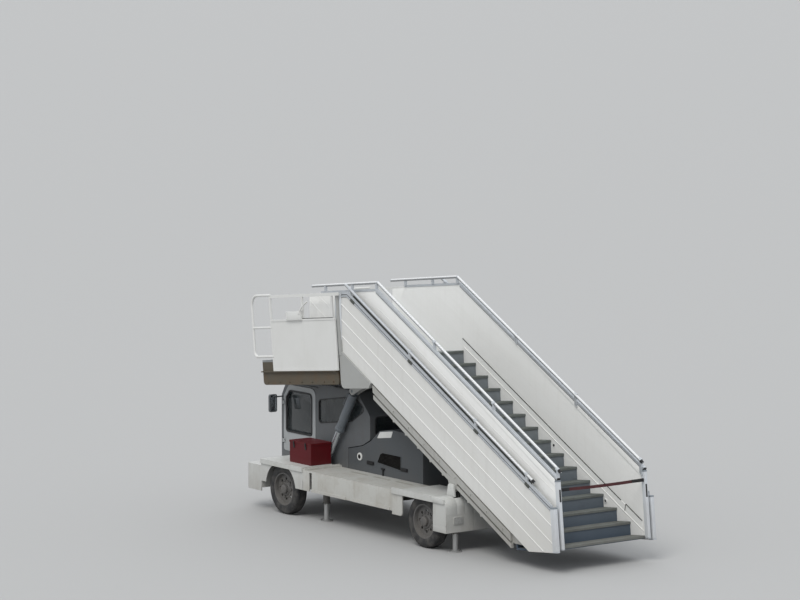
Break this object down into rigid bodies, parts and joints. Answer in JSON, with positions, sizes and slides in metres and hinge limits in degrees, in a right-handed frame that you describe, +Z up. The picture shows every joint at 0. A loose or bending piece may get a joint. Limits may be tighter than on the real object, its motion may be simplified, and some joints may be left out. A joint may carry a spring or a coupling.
{
  "type": "mobile aircraft stairs",
  "caption": "Self-propelled passenger stairs: a telescopic stepped flight with side panels and a railed platform, raised by twin cylinders on a four-wheeled chassis with a narrow cab.",
  "frame": {"origin": "centre of the plan outline, on the ground under the tyres", "axes": "+X forward, towards the aircraft; +Y to the left side; +Z up"},
  "size_m": [7.5188, 2.34, 3.744],
  "materials": {
    "frame_dark": "satin",
    "body_white": "satin",
    "cover_grey": "satin",
    "engine_dark": "rough",
    "cab_grey": "satin",
    "glass": "clear",
    "seat_black": "matt",
    "console_black": "matt",
    "locker_red": "satin",
    "lamp_red": "gloss",
    "door_grey": "satin",
    "leg_steel": "satin",
    "tyre": "matt",
    "rim_grey": "satin",
    "lift_blue": "satin",
    "rod_steel": "satin",
    "panel_white": "satin",
    "step_grey": "satin",
    "stringer_grey": "satin",
    "head_grey": "satin",
    "rail_aluminium": "satin",
    "floor_grey": "satin",
    "beam_brown": "satin",
    "strap_red": "matt",
    "guard_white": "satin"
  },
  "bodies": {
    "chassis": {"chassis_frame": "frame_dark", "decks": "body_white", "rear_box": "body_white", "front_body": "body_white", "engine_cover": "cover_grey", "engine_block": "engine_dark", "cab_shell": "cab_grey", "cab_glass": "glass", "cab_seat": "seat_black", "cab_console": "console_black", "locker": "locker_red", "lamps": "lamp_red", "stabiliser_housings": "frame_dark", "rear_axle": "frame_dark", "front_axle": "frame_dark"},
    "lower_flight": {"lower_panels": "panel_white", "lower_steps": "step_grey", "lower_stringers": "stringer_grey", "lower_head": "head_grey", "lower_handrails": "rail_aluminium"},
    "upper_flight": {"upper_panels": "panel_white", "upper_steps": "step_grey", "upper_handrails": "rail_aluminium", "platform_floor": "floor_grey", "platform_frame": "beam_brown", "entry_strap": "strap_red"},
    "guard_left": {"guard_left": "guard_white"},
    "guard_right": {"guard_right": "guard_white"},
    "barrel_left": {"lift_barrel_left": "lift_blue"},
    "rod_left": {"lift_rod_left": "rod_steel"},
    "barrel_right": {"lift_barrel_right": "lift_blue"},
    "rod_right": {"lift_rod_right": "rod_steel"},
    "knuckle_left": {"knuckle_left": "frame_dark"},
    "wheel_front_left": {"tyre_front_left": "tyre", "rim_front_left": "rim_grey"},
    "wheel_rear_left": {"tyre_rear_left": "tyre", "rim_rear_left": "rim_grey"},
    "door_left": {"cab_door_left": "door_grey"},
    "leg_rear_left": {"leg_rear_left": "leg_steel"},
    "leg_front_left": {"leg_front_left": "leg_steel"},
    "knuckle_right": {"knuckle_right": "frame_dark"},
    "wheel_front_right": {"tyre_front_right": "tyre", "rim_front_right": "rim_grey"},
    "wheel_rear_right": {"tyre_rear_right": "tyre", "rim_rear_right": "rim_grey"},
    "door_right": {"cab_door_right": "door_grey"},
    "leg_rear_right": {"leg_rear_right": "leg_steel"},
    "leg_front_right": {"leg_front_right": "leg_steel"}
  },
  "joints": [
    {"name": "stairs_pitch", "type": "hinge", "parent": "chassis", "child": "lower_flight", "pos_m": [-1.35943, 0, 0.93], "axis": [0, -1, 0], "range_deg": [0, 7]},
    {"name": "upper_slide", "type": "slide", "parent": "lower_flight", "child": "upper_flight", "axis": [0.8837, 0, 0.4681], "range_m": [0, 2.8]},
    {"name": "guard_left_slide", "type": "slide", "parent": "upper_flight", "child": "guard_left", "axis": [0.9942, 0, -0.108], "range_m": [0, 0.45]},
    {"name": "guard_right_slide", "type": "slide", "parent": "upper_flight", "child": "guard_right", "axis": [0.9942, 0, -0.108], "range_m": [0, 0.45]},
    {"name": "barrel_left_pivot", "type": "hinge", "parent": "lower_flight", "child": "barrel_left", "pos_m": [1.56057, 0.54, 1.99], "axis": [0, -1, 0], "range_deg": [-10, 0]},
    {"name": "rod_left_slide", "type": "slide", "parent": "barrel_left", "child": "rod_left", "axis": [0.5318, 0, -0.8469], "range_m": [0, 0.4]},
    {"name": "barrel_right_pivot", "type": "hinge", "parent": "lower_flight", "child": "barrel_right", "pos_m": [1.56057, -0.54, 1.99], "axis": [0, -1, 0], "range_deg": [-10, 0]},
    {"name": "rod_right_slide", "type": "slide", "parent": "barrel_right", "child": "rod_right", "axis": [0.5318, 0, -0.8469], "range_m": [0, 0.4]},
    {"name": "steer_left", "type": "hinge", "parent": "chassis", "child": "knuckle_left", "pos_m": [2.68057, 0.83, 0.39], "axis": [0, 0, 1], "range_deg": [-28, 28]},
    {"name": "wheel_front_left_spin", "type": "hinge", "parent": "knuckle_left", "child": "wheel_front_left", "pos_m": [2.68057, 1, 0.39], "axis": [0, 1, 0], "continuous": true},
    {"name": "wheel_rear_left_spin", "type": "hinge", "parent": "chassis", "child": "wheel_rear_left", "pos_m": [-0.91943, 1, 0.39], "axis": [0, 1, 0], "continuous": true},
    {"name": "door_left_hinge", "type": "hinge", "parent": "chassis", "child": "door_left", "pos_m": [3.59557, 0.476, 1.3], "axis": [0, 0, -1], "range_deg": [0, 70]},
    {"name": "leg_rear_left_lift", "type": "slide", "parent": "chassis", "child": "leg_rear_left", "axis": [0, 0, 1], "range_m": [0, 0.2]},
    {"name": "leg_front_left_lift", "type": "slide", "parent": "chassis", "child": "leg_front_left", "axis": [0, 0, 1], "range_m": [0, 0.2]},
    {"name": "steer_right", "type": "hinge", "parent": "chassis", "child": "knuckle_right", "pos_m": [2.68057, -0.83, 0.39], "axis": [0, 0, 1], "range_deg": [-28, 28]},
    {"name": "wheel_front_right_spin", "type": "hinge", "parent": "knuckle_right", "child": "wheel_front_right", "pos_m": [2.68057, -1, 0.39], "axis": [0, 1, 0], "continuous": true},
    {"name": "wheel_rear_right_spin", "type": "hinge", "parent": "chassis", "child": "wheel_rear_right", "pos_m": [-0.91943, -1, 0.39], "axis": [0, 1, 0], "continuous": true},
    {"name": "door_right_hinge", "type": "hinge", "parent": "chassis", "child": "door_right", "pos_m": [3.59557, -0.476, 1.3], "axis": [0, 0, 1], "range_deg": [0, 70]},
    {"name": "leg_rear_right_lift", "type": "slide", "parent": "chassis", "child": "leg_rear_right", "axis": [0, 0, 1], "range_m": [0, 0.2]},
    {"name": "leg_front_right_lift", "type": "slide", "parent": "chassis", "child": "leg_front_right", "axis": [0, 0, 1], "range_m": [0, 0.2]}
  ],
  "couplings": [
    {"joint": "barrel_left_pivot", "follows": "stairs_pitch", "ratio": -1.2752},
    {"joint": "rod_left_slide", "follows": "stairs_pitch", "m_per_rad": 3.0705},
    {"joint": "barrel_right_pivot", "follows": "stairs_pitch", "ratio": -1.2752},
    {"joint": "rod_right_slide", "follows": "stairs_pitch", "m_per_rad": 3.0705},
    {"joint": "steer_right", "follows": "steer_left", "ratio": 1}
  ]
}
